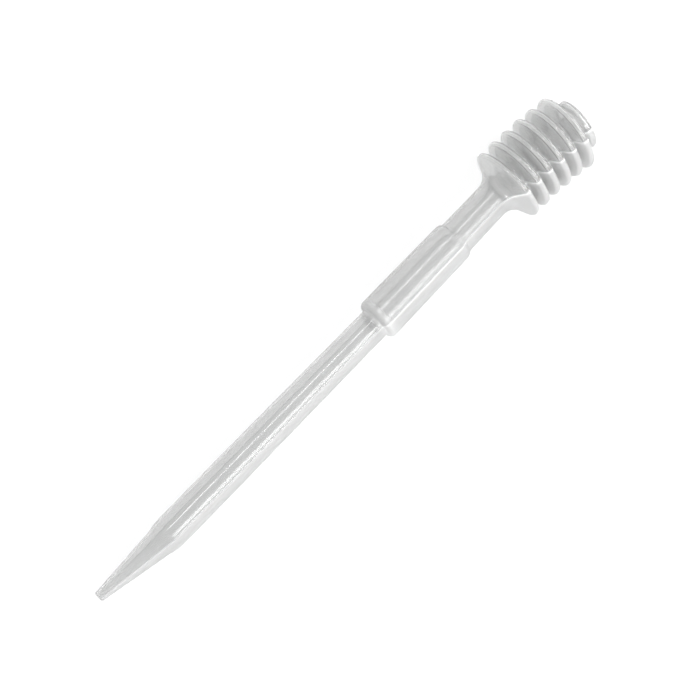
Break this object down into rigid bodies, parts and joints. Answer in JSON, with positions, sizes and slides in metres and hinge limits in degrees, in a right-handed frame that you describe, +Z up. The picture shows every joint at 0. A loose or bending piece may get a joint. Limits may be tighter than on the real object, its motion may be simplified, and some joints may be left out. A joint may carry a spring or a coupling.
{
  "type": "bellows dropper pipette",
  "caption": "One-piece plastic dropper pipette with a drawn tip, a long stem, a thicker collar and a closed bellows bulb.",
  "frame": {"origin": "on the table the pipette lies on, under the middle of its bounding box", "axes": "+X along the pipette from its tip to its bulb, +Z up as it lies at rest, so +Y is to the left of the bulb's way"},
  "size_m": [0.151, 0.0194, 0.0185],
  "materials": {
    "polyethylene": "milky translucent natural polyethylene, blown, with a soft gloss"
  },
  "bodies": {
    "root": {"dropper_pipette": "polyethylene"}
  },
  "joints": []
}
